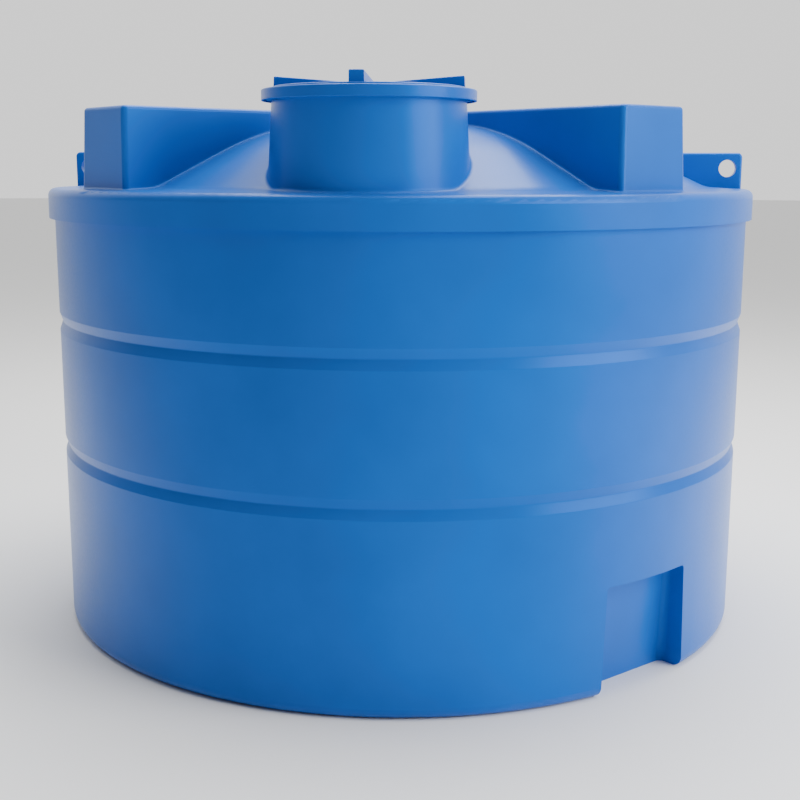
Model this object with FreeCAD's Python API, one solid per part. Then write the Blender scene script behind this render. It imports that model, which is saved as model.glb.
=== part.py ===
"""Upright moulded water storage tank for livestock farms, about 6,350 litres up to its overflow.

Frame: origin at the centre of the flat base, on the ground. +Z is up and the manway neck stands
towards -Y. All sizes are in millimetres. One STEP file is written for each separate piece.
"""
import FreeCAD
import Part
import math
import os

V = FreeCAD.Vector
OUT = "parts"

# ---------------------------------------------------------------- driving sizes: moulded shell
WALL = 8.0                   # moulded wall thickness
RIM_RADIUS = 1190.0          # outside of the parting rim
RIM_OVERHANG = 18.0          # rim stands this far outside the wall
RIM_FACE = 94.0              # height of the rim's upright face, before its edge is rounded
RIM_EDGE_ROUND = 24.0
RIM_CORNER_HEIGHT = 1452.0   # ground to the rim's sharp upper corner
FOOT_INSET = 2.0             # the wall narrows by this much from rim to foot
FOOT_ROUND = 34.0
GROOVE_HEIGHTS = (609.0, 1021.0)   # centres of the two hoop grooves
GROOVE_HALF = 30.0
GROOVE_DEPTH = 11.0
GROOVE_ROUND = 7.0

# roof dome
SHELF_WIDTH = 150.0          # nearly flat shelf inside the rim
SHELF_SLOPE = 3.0            # degrees
DOME_RISE = 201.0            # rim corner to the flat crown
DOME_SLOPE = 25.0            # degrees
CROWN_ROUND = 950.0
DOME_FOOT_ROUND = 110.0

# four raised shoulders, a cross at 45 degrees to the neck
SHOULDER_ANGLES = (45.0, 135.0)
SHOULDERS = (("shoulder_rear_right", 45.0), ("shoulder_rear_left", 135.0),
             ("shoulder_front_left", 225.0), ("shoulder_front_right", 315.0))
SHOULDER_HALF_WIDTH = 131.0  # at the top
SHOULDER_RISE = 242.0        # rim corner to the shoulder top
SHOULDER_INSET = 70.0        # rim to the top of the end face
SHOULDER_DRAFT = 2.0         # degrees
SHOULDER_UPRIGHT_ROUND = 16.0
SHOULDER_TOP_ROUND = 12.0
SHOULDER_JOIN_ROUND = 8.0
DIVISION_MARGIN = 4.0        # a dividing face stands this far outside the fillet it passes

# manway neck
NECK_SETBACK = 53.0          # rim to the front of the neck
NECK_RADIUS = 272.0          # outside, just under the lid
NECK_DRAFT = 3.4             # degrees, wider downwards
NECK_JOIN_ROUND = 12.0
NECK_RISE = 270.0            # rim corner to the neck's top face
NECK_MOUTH_STEP = 2.0        # the threaded mouth stands this far outside the neck
NECK_MOUTH_DEPTH = 21.0
NECK_LIP_ROUND = 1.5

# lifting eyes, one at each side
EYES = (("lifting_eye_right", 0.0), ("lifting_eye_left", 180.0))
EYE_THICKNESS = 32.0
EYE_RISE = 121.0             # rim corner to the top of the fin
EYE_INSET = 26.0             # rim to the fin's outer edge
EYE_HOLE_RADIUS = 29.0
EYE_HOLE_INSET = 75.0        # rim to the hole's axis
EYE_HOLE_RISE = 69.0         # rim corner to the hole's axis
EYE_EDGE_ROUND = 9.0
EYE_CORNER_ROUND = 16.0

# two flat outlet recesses in the foot, opposite each other
RECESS_ANGLES = (-45.0, 135.0)
RECESS_HEIGHT = 336.0
RECESS_HALF_WIDTH_TOP = 172.0
RECESS_HALF_WIDTH_FOOT = 184.0
RECESS_DEPTH_TOP = 76.0      # middle of the wall to the pad, at the recess top
RECESS_DEPTH_FOOT = 98.0     # the same at the ground
RECESS_PAD_ROUND = 22.0
RECESS_TOP_ROUND = 12.0

# ---------------------------------------------------------------- driving sizes: screw lid
LID_THREAD_CLEARANCE = 8.0   # neck thread crest to the inside of the lid's skirt
LID_WALL = 6.0
LID_SKIRT = 31.0             # full height of the rim, top face to lower edge
LID_BRIM = 31.0              # lid's edge to its raised disc
LID_DISC_STEP = 7.0
LID_STEP_LEAN = 4.0          # the step's foot stands this far outside its top
LID_EDGE_ROUND = 5.0
LID_STEP_ROUND = 3.0
LID_LOWER_ROUND = 2.0
LID_INSIDE_ROUND = 1.0
RIB_COUNT = 4
RIB_MARGIN = 2.0             # disc's edge to the outer foot of a rib
RIB_OUTER_LEAN = 2.0         # each end of a rib leans in by this much
RIB_INNER_LEAN = 4.0
RIB_HALF_WIDTH = 20.0
RIB_INNER_RADIUS = 28.0
RIB_OUTER_RISE = 31.0        # above the disc, at the outer end
RIB_INNER_RISE = 13.0
RIB_DRAFT = 3.0              # degrees
RIB_WALL = 5.0
RIB_ROUND = 4.0
SEAL_THICKNESS = 4.0
SEAL_LIP = 2.0               # the seal is this much wider than the neck's top face, each side

THREAD_STARTS = 2
THREAD_LEAD = 24.0
THREAD_TURN = 0.5            # turns in each ridge
THREAD_ROOT = 7.0            # ridge width at its root
THREAD_CREST = 3.0
NECK_THREAD_HEIGHT = 12.0
LID_THREAD_GAP = 6.0         # lid thread crest to the neck's mouth
THREAD_OFFSET = 4.7          # lid ridge below neck ridge, seal closed
NECK_THREAD_LAND = 1.5       # neck top to the upper end of a ridge
LID_THREAD_PHASE = 90.0      # degrees from the neck ridge's start to the lid ridge's start

# breather in the middle of the lid
VENT_STEM_RADIUS = 12.0
VENT_BORE = 8.5
VENT_FLANGE_RADIUS = 19.0
VENT_CAP_RADIUS = 21.0
VENT_NUT_FLATS = 34.0
VENT_NUT_HEIGHT = 7.0
VENT_TAIL = 4.0              # thread left below the nut
VENT_FLANGE_THICKNESS = 2.5
VENT_LEDGE = 1.5             # width of the ledge that the screen lies on
VENT_FLANGE_ROUND = 1.0
VENT_AIR_GAP = 4.0           # flange to the underside of the cap
VENT_CAP_THICKNESS = 4.0
VENT_CAP_WALL = 2.0
VENT_CAP_EDGE = 2.5
VENT_SKIRT_GAP = 1.5         # flange to the cap's lower edge
VENT_LEG_RADIUS = 1.8
VENT_LEGS = 3

# ---------------------------------------------------------------- driving sizes: pipe fittings
HOLE_CLEARANCE = 0.8         # between a fitting's barrel and the hole drilled for it
THREAD_CLEARANCE = 0.1       # between a barrel and the nut or socket on it
RUNNING_CLEARANCE = 0.05     # between a turning pin and its bore
GASKET = 3.0
SEAL_MARGIN = 2.0            # flange's edge to its seal's edge, inside the tank
OUTER_SEAL_MARGIN = 5.0      # and under the outlet's backnut
NUT_CHAMFER = 0.6            # slope of the chamfer on a hexagon's corners
FITTING_ROUND = 2.0
BARREL_ROUND = 1.0

OUTLET_HEIGHT = 112.0        # ground to the outlet's axis, on the pad
OUTLET_BARREL = 29.8         # 2 inch pipe thread, outside radius
OUTLET_PIPE_WALL = 5.3
OUTLET_FLANGE_WIDTH = 16.2
OUTLET_REACH = 54.0          # pad to the end of the barrel
OUTLET_NUT_WALL = 11.2       # barrel to the nut's flats
OUTLET_NUT_HEIGHT = 16.0
OUTLET_FLANGE_THICKNESS = 9.0

VALVE_START = 25.0           # pad to the near end of the ball valve
VALVE_BALL_WALL = 9.5        # waterway to the ball's outside
VALVE_BALL_ROOM = 3.0        # ball to the body's cavity
VALVE_BODY_WALL = 8.0
VALVE_SHOULDER = 7.0         # barrel's end to the first seat
VALVE_COLLAR = 22.0          # length of the narrower collar at the near end
VALVE_COLLAR_STEP = 3.0      # the collar is this much smaller in radius
VALVE_COLLAR_TAPER = 4.0
VALVE_SEAT_LENGTH = 17.0
VALVE_SEAT_GAP = 0.3         # between the ball and its seats
VALVE_SPIGOT = 8.0           # how far the end piece screws into the body
VALVE_END_LENGTH = 30.0
VALVE_END_WALL = 5.0         # cavity to the end piece's flats
VALVE_SOCKET = 22.0          # depth of the free thread at the far end
STEM_RADIUS = 8.0
STEM_NECK = 2.0              # the stem steps in by this much where the lever sits
STEM_END = 3.0               # thread left above the lever's nut
STEM_RECESS = 0.5            # the stem's foot reaches this far into the cavity
TONGUE_THICKNESS = 6.0
TONGUE_INSET = 1.5           # stem's side to the tongue's edge
BALL_SLOT_DEPTH = 7.5
BALL_SLOT_CLEARANCE = 0.5
STEM_BOSS_RADIUS = 17.0
STEM_BOSS_HEIGHT = 15.0      # body to the top of the boss
GLAND_NUT_FLATS = 32.0
GLAND_NUT_HEIGHT = 9.0
LEVER_LENGTH = 150.0
LEVER_HALF_WIDTH = 11.0
LEVER_THICKNESS = 5.0
LEVER_GAP = 4.0
LEVER_HUB_RADIUS = 15.0
GRIP_LENGTH = 92.0
GRIP_WALL = 3.5
GRIP_ROUND = 5.0
LEVER_NUT_FLATS = 19.0
LEVER_NUT_HEIGHT = 6.0

INLET_SHOULDER = 1           # the bar whose rear end carries the float valve
INLET_DROP = 99.0            # shoulder top to the float valve's axis, on the end face
INLET_TAIL = 13.2            # 3/4 inch pipe thread, outside radius
INLET_BORE = 8.0
INLET_REACH = 46.0
INLET_FLANGE_FLATS = 38.0
INLET_NUT_HEIGHT = 10.0
INLET_FLANGE_THICKNESS = 8.0
INLET_RELIEF = 0.3           # the tail is this much smaller where it passes the wall
INLET_ROOT = 4.0             # the barrel reaches this far into the flange
INLET_SEAL_MARGIN = 1.0
INLET_BARREL = 15.0
INLET_BARREL_LENGTH = 50.0
PLUNGER_RADIUS = 4.0
NOZZLE_RADIUS = 3.2          # the hole that the washer closes
NOZZLE_LENGTH = 3.0
NOZZLE_START = 8.0           # inside flange to the nozzle
CHAMBER_RADIUS = 9.0
CHAMBER_LENGTH = 20.0
CHAMBER_OUTLET_RADIUS = 5.0
WASHER_RADIUS = 6.5
WASHER_THICKNESS = 3.0
WASHER_GAP = 0.3             # washer to nozzle with the arm level
PIVOT_DROP = 10.0            # valve axis to the pivot
PIVOT_RADIUS = 3.0
PIVOT_REACH = 15.0           # barrel end to the pivot
ARM_EYE_RADIUS = 5.5
ARM_HALF_WIDTH = 6.5
ARM_RADIUS = 4.0
ARM_LENGTH = 292.0           # pivot to the float's near side
ARM_TAIL = 10.0              # arm's end past the float
FLOAT_SLEEVE_WALL = 3.0
LOCKNUT_FLATS = 14.0
LOCKNUT_HEIGHT = 5.0
LOCKNUT_GAP = 0.5
HEEL_RADIUS = 3.5
HEEL_GAP = 0.4
FLOAT_RADIUS = 60.0
FLOAT_WALL = 2.5
FLOAT_HANG = 50.0            # degrees below level with the tank empty
WEB_BACK = 2.5               # the heel's web, behind the pivot's line
WEB_FRONT = 0.5              # and in front, on the plunger's side
FORK_GAP = 1.0               # each side of the arm's eye
FORK_CHEEK = 4.0
FORK_MARGIN = 7.0            # pivot to the edge of a cheek
WEB_INSET = 2.0              # the web and heel are this much narrower than the eye, each side
PIN_HEAD = 2.0
PIN_HEAD_STEP = 1.5

OVERFLOW_SHOULDER = 0        # away from the outlet, so that the overflow's pipe drops clear of its valve
OVERFLOW_DROP = 149.0        # shoulder top to the overflow's axis
OVERFLOW_BARREL = 23.9       # 1 1/2 inch pipe thread, outside radius
OVERFLOW_PIPE_WALL = 4.4
OVERFLOW_FLANGE_WIDTH = 13.1
OVERFLOW_REACH = 50.0
OVERFLOW_NUT_WALL = 8.1
OVERFLOW_NUT_HEIGHT = 13.0
OVERFLOW_FLANGE_THICKNESS = 8.0
OVERFLOW_SEAL_MARGIN = 4.0   # under the backnut
ELBOW_START = 19.0           # end face to the elbow's near end
ELBOW_WALL = 5.0
ELBOW_BEND = 36.0
ELBOW_LEG = 34.0             # bend to the elbow's mouth
ELBOW_SOCKET_STEP = 1.1      # the free socket is this much wider than the barrel
ELBOW_SOCKET_DEPTH = 26.0
ELBOW_BEAD = 1.0
PIPE_RIM_GAP = 6.0           # overflow pipe to the rim that it passes
SCREEN_THICKNESS = 1.5
SCREEN_HOLE = 1.6
SCREEN_PITCH = 5.2
SCREEN_LEDGE = 3.0           # the screen is this much wider than the bore
SCREEN_RECESS = 2.0

# ---------------------------------------------------------------- worked out from the above
WALL_TOP_RADIUS = RIM_RADIUS - RIM_OVERHANG
PARTING = RIM_CORNER_HEIGHT - RIM_FACE            # the lower edge of the rim
SHELF_INNER = RIM_RADIUS - SHELF_WIDTH
SHELF_INNER_HEIGHT = RIM_CORNER_HEIGHT + SHELF_WIDTH * math.tan(math.radians(SHELF_SLOPE))
CROWN_HEIGHT = RIM_CORNER_HEIGHT + DOME_RISE
CROWN_CORNER = SHELF_INNER - (CROWN_HEIGHT - SHELF_INNER_HEIGHT) / math.tan(math.radians(DOME_SLOPE))
SHOULDER_TOP = RIM_CORNER_HEIGHT + SHOULDER_RISE
NECK_Y = -(RIM_RADIUS - NECK_SETBACK - NECK_RADIUS)
NECK_MOUTH_RADIUS = NECK_RADIUS + NECK_MOUTH_STEP
NECK_TOP = RIM_CORNER_HEIGHT + NECK_RISE
NECK_BORE = NECK_RADIUS - WALL
LID_TOP = NECK_TOP + SEAL_THICKNESS + LID_WALL    # the rim's top face
DISC_TOP = LID_TOP + LID_DISC_STEP
LID_INNER = NECK_MOUTH_RADIUS + NECK_THREAD_HEIGHT + LID_THREAD_CLEARANCE
LID_RADIUS = LID_INNER + LID_WALL
LID_DISC_RADIUS = LID_RADIUS - LID_BRIM
OUTLET_BORE = OUTLET_BARREL - OUTLET_PIPE_WALL
OUTLET_FLANGE = OUTLET_BARREL + OUTLET_FLANGE_WIDTH
OUTLET_NUT_FLATS = 2 * (OUTLET_BARREL + OUTLET_NUT_WALL)
VALVE_BALL = OUTLET_BORE + VALVE_BALL_WALL
VALVE_CAVITY = VALVE_BALL + VALVE_BALL_ROOM
VALVE_RADIUS = VALVE_CAVITY + VALVE_BODY_WALL
VALVE_END_FLATS = 2 * (VALVE_CAVITY + VALVE_END_WALL)
STEM_BOSS_RISE = VALVE_RADIUS + STEM_BOSS_HEIGHT
OVERFLOW_BORE = OVERFLOW_BARREL - OVERFLOW_PIPE_WALL
OVERFLOW_FLANGE = OVERFLOW_BARREL + OVERFLOW_FLANGE_WIDTH
OVERFLOW_NUT_FLATS = 2 * (OVERFLOW_BARREL + OVERFLOW_NUT_WALL)
ELBOW_SOCKET = OVERFLOW_BARREL + ELBOW_SOCKET_STEP
DIVISION_LOW = PARTING + 4 * WALL                 # the roof's dividing cuts start above the rim's web
EPS = 1.0                                         # a cutter's reach past what it cuts
NEAR = 0.5                                        # a point this close to a face counts as on it
ON_ROOF = 0.3                                     # and this close to the roof line
SAME = 0.01                                       # two heights this close are the same


# ---------------------------------------------------------------- helpers
def rounded_wire(points):
    """A closed wire in the XZ plane through (r, z) or (r, z, rounding) points."""
    n = len(points)
    corners = []
    for i in range(n):
        here = V(points[i][0], 0, points[i][1])
        before = V(points[i - 1][0], 0, points[i - 1][1])
        after = V(points[(i + 1) % n][0], 0, points[(i + 1) % n][1])
        rounding = points[i][2] if len(points[i]) > 2 else 0.0
        into = (before - here).normalize()
        away = (after - here).normalize()
        turn = math.pi - into.getAngle(away)
        if rounding <= 0 or turn < 1e-6:
            corners.append((here, here, None))
            continue
        reach = rounding * math.tan(turn / 2)
        start = here + into * reach
        end = here + away * reach
        middle_way = (into + away).normalize()
        to_centre = rounding / math.cos(turn / 2)
        corners.append((start, end, here + middle_way * (to_centre - rounding)))
    edges = []
    for i in range(n):
        start, end, middle = corners[i]
        if middle is not None:
            edges.append(Part.Arc(start, middle, end).toShape())
        following = corners[(i + 1) % n][0]
        if (following - end).Length > 1e-6:
            edges.append(Part.LineSegment(end, following).toShape())
    return Part.Wire(edges)


def turned(points):
    """The solid that a closed (r, z, rounding) outline makes when it turns about Z."""
    return Part.Face(rounded_wire(points)).revolve(V(0, 0, 0), V(0, 0, 1), 360)


def ring(inner, outer, low, high):
    """A plain ring about Z."""
    return turned([(inner, low), (outer, low), (outer, high), (inner, high)])


def rod(radius, low, high):
    """A plain cylinder about Z."""
    return Part.makeCylinder(radius, high - low, V(0, 0, low))


def hexagon(flats, low, high):
    """A hexagonal prism about Z, with its corners taken off by a cone-shaped chamfer at the top."""
    corner = flats / 2 / math.cos(math.radians(30))
    points = [V(corner * math.cos(math.radians(60 * k)), corner * math.sin(math.radians(60 * k)), low)
              for k in range(6)]
    prism = Part.Face(Part.makePolygon(points + points[:1])).extrude(V(0, 0, high - low))
    drop = (corner - flats / 2) * NUT_CHAMFER
    dome = turned([(0, low), (corner + EPS, low), (corner + EPS, high - drop - EPS * NUT_CHAMFER),
                   (flats / 2, high), (0, high)])
    return prism.common(dome)


def plan_box(x0, x1, y0, y1, z):
    """A closed rectangle wire at one height."""
    return Part.makePolygon([V(x0, y0, z), V(x1, y0, z), V(x1, y1, z), V(x0, y1, z), V(x0, y0, z)])


def frustum(low_box, low, high_box, high):
    """A solid between two rectangles (x0, x1, y0, y1), with flat sloping sides."""
    return Part.makeLoft([plan_box(*low_box, low), plan_box(*high_box, high)], True, True)


def edges_where(shape, test):
    """The shape's edges whose two ends both pass the test."""
    return [e for e in shape.Edges if len(e.Vertexes) == 2 and all(test(v.Point) for v in e.Vertexes)]


def turn_z(shape, degrees):
    """A copy of the shape turned about Z."""
    copy = shape.copy()
    copy.rotate(V(0, 0, 0), V(0, 0, 1), degrees)
    return copy


def moved(shape, x, y, z):
    """A copy of the shape moved."""
    copy = shape.copy()
    copy.translate(V(x, y, z))
    return copy


def offset_line(points, inset):
    """Moves an open (r, z, rounding) line to its right by inset, keeping its roundings concentric."""
    result = []
    n = len(points)
    for i in range(n):
        here = V(points[i][0], points[i][1], 0)
        sides = []
        if i > 0:
            sides.append((here - V(points[i - 1][0], points[i - 1][1], 0)).normalize())
        if i < n - 1:
            sides.append((V(points[i + 1][0], points[i + 1][1], 0) - here).normalize())
        normals = [V(s.y, -s.x, 0) for s in sides]
        rounding = points[i][2] if len(points[i]) > 2 else 0.0
        if len(normals) == 1:
            shift = normals[0] * inset
        else:
            total = normals[0] + normals[1]
            shift = total * (inset / (1 + normals[0].dot(normals[1])))
            left_turn = sides[0].x * sides[1].y - sides[0].y * sides[1].x > 0
            if rounding > 0:
                rounding = max(rounding + (inset if left_turn else -inset), 1.0)
        result.append((here.x + shift.x, here.y + shift.y, rounding))
    return result


def face_frame(angle, radius, height, lean):
    """A placement on a flat outside face: local Z points out of it and local Y up it.

    lean is how many degrees the face's outward normal points above the horizon.
    """
    a, t = math.radians(angle), math.radians(lean)
    out = V(math.cos(a) * math.cos(t), math.sin(a) * math.cos(t), math.sin(t))
    side = V(-math.sin(a), math.cos(a), 0)
    up = out.cross(side)
    matrix = FreeCAD.Matrix(side.x, up.x, out.x, radius * math.cos(a),
                            side.y, up.y, out.y, radius * math.sin(a),
                            side.z, up.z, out.z, height,
                            0, 0, 0, 1)
    return FreeCAD.Placement(matrix)


def placed(shape, frame):
    """A copy of a shape moved from local to tank coordinates."""
    copy = shape.copy()
    copy.Placement = frame.multiply(copy.Placement)
    return copy


def drill(barrel, frame):
    """The hole through the wall for a fitting's barrel."""
    return placed(rod(barrel + HOLE_CLEARANCE, -3 * WALL, 3 * WALL), frame)


# ---------------------------------------------------------------- lower shell
def wall_radius(z):
    """Outside radius of the plain wall at a height."""
    return WALL_TOP_RADIUS - FOOT_INSET * (PARTING - z) / PARTING


def wall_line():
    """The outside of the base and wall, from the axis out and up to the parting line."""
    line = [(0, 0), (wall_radius(0), 0, FOOT_ROUND)]
    for z in GROOVE_HEIGHTS:
        line.append((wall_radius(z - GROOVE_HALF), z - GROOVE_HALF, GROOVE_ROUND))
        line.append((wall_radius(z) - GROOVE_DEPTH, z, GROOVE_ROUND))
        line.append((wall_radius(z + GROOVE_HALF), z + GROOVE_HALF, GROOVE_ROUND))
    line.append((WALL_TOP_RADIUS, PARTING))
    return line


def recess_pad(z):
    """Distance from the tank's axis to the recess's flat pad at a height."""
    top = wall_radius(RECESS_HEIGHT) - RECESS_DEPTH_TOP
    foot = wall_radius(0) - RECESS_DEPTH_FOOT
    return foot + (top - foot) * z / RECESS_HEIGHT


def recess_lean():
    """How far the pad's outward normal points above the horizon, in degrees (it points below)."""
    return -math.degrees(math.atan((recess_pad(RECESS_HEIGHT) - recess_pad(0)) / RECESS_HEIGHT))


def recess_cutter(grow):
    """The space of one outlet recess, facing +X, grown by the wall for the inside of the moulding."""
    beyond = RIM_RADIUS + 2 * RIM_OVERHANG
    top = RECESS_HEIGHT + grow
    low = -EPS

    def outline(z):
        share = z / RECESS_HEIGHT
        half = RECESS_HALF_WIDTH_FOOT + (RECESS_HALF_WIDTH_TOP - RECESS_HALF_WIDTH_FOOT) * share + grow
        return (recess_pad(z) - grow, beyond, -half, half)

    cutter = frustum(outline(low), low, outline(top), top)

    def on_pad(p):
        return abs(p.x - outline(p.z)[0]) < NEAR

    upright = [e for e in edges_where(cutter, on_pad) if abs(e.Vertexes[0].Z - e.Vertexes[1].Z) > EPS]
    cutter = cutter.makeFillet(RECESS_PAD_ROUND, upright)
    upper = edges_where(cutter, lambda p: abs(p.z - top) < SAME and p.x < beyond - EPS)
    return cutter.makeFillet(RECESS_TOP_ROUND, upper)


def lower_shell():
    """Base, wall and the two outlet recesses, one moulding with its top open at the parting line."""
    outer_line = wall_line()
    outer = turned(outer_line + [(0, PARTING)])
    inner_line = offset_line(outer_line, -WALL)
    inner_line[0] = (0, WALL)
    inner_line[-1] = (WALL_TOP_RADIUS - WALL, PARTING)
    inner = turned(inner_line + [(WALL_TOP_RADIUS - WALL, PARTING + EPS), (0, PARTING + EPS)])
    for angle in RECESS_ANGLES:
        outer = outer.cut(turn_z(recess_cutter(0), angle))
        inner = inner.cut(turn_z(recess_cutter(WALL), angle))
    shell = outer.cut(inner)
    return shell.cut(drill(OUTLET_BARREL, outlet_frame()))


# ---------------------------------------------------------------- upper shell
def roof_line():
    """The outside of the roof, from the rim's lower edge up and in to the axis."""
    return [
        (RIM_RADIUS, PARTING),
        (RIM_RADIUS, RIM_CORNER_HEIGHT, RIM_EDGE_ROUND),
        (SHELF_INNER, SHELF_INNER_HEIGHT, DOME_FOOT_ROUND),
        (CROWN_CORNER, CROWN_HEIGHT, CROWN_ROUND),
        (0, CROWN_HEIGHT),
    ]


def shoulder_end(z):
    """Distance from the tank's axis to a shoulder's end face at a height."""
    return RIM_RADIUS - SHOULDER_INSET + (SHOULDER_TOP - z) * math.tan(math.radians(SHOULDER_DRAFT))


def shoulder_bar(grow, low):
    """A bar across the roof with drafted sides and a rounded top; its two ends are two shoulders."""
    top = SHOULDER_TOP + grow

    def outline(z):
        spread = (SHOULDER_TOP - z) * math.tan(math.radians(SHOULDER_DRAFT))
        half = SHOULDER_HALF_WIDTH + spread + grow
        return (-shoulder_end(z) - grow, shoulder_end(z) + grow, -half, half)

    bar = frustum(outline(low), low, outline(top), top)
    upright = [e for e in bar.Edges if abs(e.Vertexes[0].Z - e.Vertexes[1].Z) > EPS]
    bar = bar.makeFillet(max(SHOULDER_UPRIGHT_ROUND + grow, 2.0), upright)
    upper = [e for e in bar.Edges if all(abs(v.Z - top) < SAME for v in e.Vertexes)]
    return bar.makeFillet(max(SHOULDER_TOP_ROUND + grow, 2.0), upper)


def neck_radius(z):
    """Outside radius of the neck at a height."""
    return NECK_RADIUS + (NECK_TOP - NECK_MOUTH_DEPTH - z) * math.tan(math.radians(NECK_DRAFT))


def thread_ridge(root_radius, crest_radius, start_height, phase):
    """One helical ridge of trapezoid section, its root sunk a little into the wall that carries it."""
    inwards = 1 if crest_radius > root_radius else -1
    path = Part.makeHelix(THREAD_LEAD, THREAD_LEAD * THREAD_TURN, root_radius)
    sunk = root_radius - inwards * EPS
    half_root = THREAD_ROOT / 2
    half_crest = THREAD_CREST / 2
    section = Part.makePolygon([V(sunk, 0, -half_root), V(crest_radius, 0, -half_crest),
                                V(crest_radius, 0, half_crest), V(sunk, 0, half_root),
                                V(sunk, 0, -half_root)])
    ridge = Part.Wire(path.Edges).makePipeShell([section], True, True)
    return turn_z(moved(ridge, 0, 0, start_height), phase)


def neck_thread_height():
    """Height of the middle of a neck ridge at its lower end."""
    return NECK_TOP - NECK_THREAD_LAND - THREAD_ROOT / 2 - THREAD_LEAD * THREAD_TURN


def neck_solids(base):
    """The neck's outside and inside, about its own axis at the origin."""
    shoulder = NECK_TOP - NECK_MOUTH_DEPTH
    outside = turned([(0, base), (neck_radius(base), base), (NECK_RADIUS, shoulder),
                      (NECK_MOUTH_RADIUS, shoulder), (NECK_MOUTH_RADIUS, NECK_TOP, NECK_LIP_ROUND),
                      (0, NECK_TOP)])
    inside = turned([(0, base - EPS), (neck_radius(base - EPS) - WALL, base - EPS),
                     (NECK_BORE, shoulder), (NECK_BORE, NECK_TOP + EPS), (0, NECK_TOP + EPS)])
    return outside, inside


def join_edges(shape, on_neck):
    """Edges where the neck, or the shoulders, meet the dome: curved lines that lie on the roof line."""
    found = []
    for edge in shape.Edges:
        middle = edge.valueAt((edge.FirstParameter + edge.LastParameter) / 2)
        points = [middle] + [v.Point for v in edge.Vertexes]
        if not all(abs(roof_height(math.hypot(p.x, p.y)) - p.z) < ON_ROOF for p in points):
            continue
        gap = math.hypot(middle.x, middle.y - NECK_Y) - neck_radius(middle.z)
        near_neck = abs(gap) < NEAR
        if near_neck == on_neck and (on_neck or beside_shoulder(middle)):
            found.append(edge)
    return found


def beside_shoulder(p):
    """True for a point on the side or end of a shoulder."""
    spread = (SHOULDER_TOP - p.z) * math.tan(math.radians(SHOULDER_DRAFT))
    for angle in SHOULDER_ANGLES:
        a = math.radians(angle)
        along = abs(p.x * math.cos(a) + p.y * math.sin(a))
        across = abs(-p.x * math.sin(a) + p.y * math.cos(a))
        on_side = abs(across - SHOULDER_HALF_WIDTH - spread) < NEAR and along < shoulder_end(p.z) + NEAR
        short_of_end = shoulder_end(p.z) - along
        near_end = -NEAR < short_of_end < SHOULDER_UPRIGHT_ROUND + NEAR
        on_end = near_end and across < SHOULDER_HALF_WIDTH + spread + NEAR
        if on_side or on_end:
            return True
    return False


def roof_height(radius):
    """Height of the plain roof's outside at a distance from the axis."""
    section = rounded_wire([(RIM_RADIUS + EPS, PARTING)] + roof_line() + [(0, PARTING)])
    line = Part.LineSegment(V(radius, 0, RIM_CORNER_HEIGHT - RIM_EDGE_ROUND + EPS), V(radius, 0, SHOULDER_TOP))
    hits = section.distToShape(line.toShape())
    return hits[1][0][0].z


def eye_span():
    """Distances from the tank's axis to the inner and outer ends of a lifting eye's fin."""
    return CROWN_CORNER, RIM_RADIUS - EYE_INSET


def eye_fin():
    """A solid fin with a round eye at +X, its foot sunk into the roof that it is moulded with."""
    low = RIM_CORNER_HEIGHT - RIM_EDGE_ROUND
    top = RIM_CORNER_HEIGHT + EYE_RISE
    inner, outer = eye_span()
    half = EYE_THICKNESS / 2
    fin = Part.makeBox(outer - inner, EYE_THICKNESS, top - low, V(inner, -half, low))
    corner = edges_where(fin, lambda p: p.x > outer - EPS and p.z > top - EPS)
    fin = fin.makeFillet(EYE_CORNER_ROUND, corner)
    rim = [e for e in fin.Edges
           if all(abs(abs(v.Y) - half) < SAME and (v.Z > low + EPS or v.X > outer - SAME) for v in e.Vertexes)
           and not all(v.Z < low + EPS for v in e.Vertexes)
           and not all(v.X < inner + EPS for v in e.Vertexes)]
    fin = fin.makeFillet(EYE_EDGE_ROUND, rim)
    hole = Part.makeCylinder(EYE_HOLE_RADIUS, EYE_THICKNESS + 2 * EPS,
                             V(RIM_RADIUS - EYE_HOLE_INSET, -half - EPS, RIM_CORNER_HEIGHT + EYE_HOLE_RISE),
                             V(0, 1, 0))
    return fin.cut(hole)


def upper_outside():
    """The solid outside form of the roof, with shoulders, neck and lifting eyes, before it is hollowed."""
    dome = turned(roof_line() + [(0, PARTING)])
    low = RIM_CORNER_HEIGHT - RIM_EDGE_ROUND
    form = dome
    for angle in SHOULDER_ANGLES:
        form = form.fuse(turn_z(shoulder_bar(0, low), angle))
    neck_out = moved(neck_solids(low)[0], 0, NECK_Y, 0)
    form = form.fuse(neck_out).removeSplitter()
    form = form.makeFillet(NECK_JOIN_ROUND, join_edges(form, True))
    form = form.makeFillet(SHOULDER_JOIN_ROUND, join_edges(form, False))
    for name, angle in EYES:
        form = form.fuse(turn_z(eye_fin(), angle))
    return form


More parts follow.
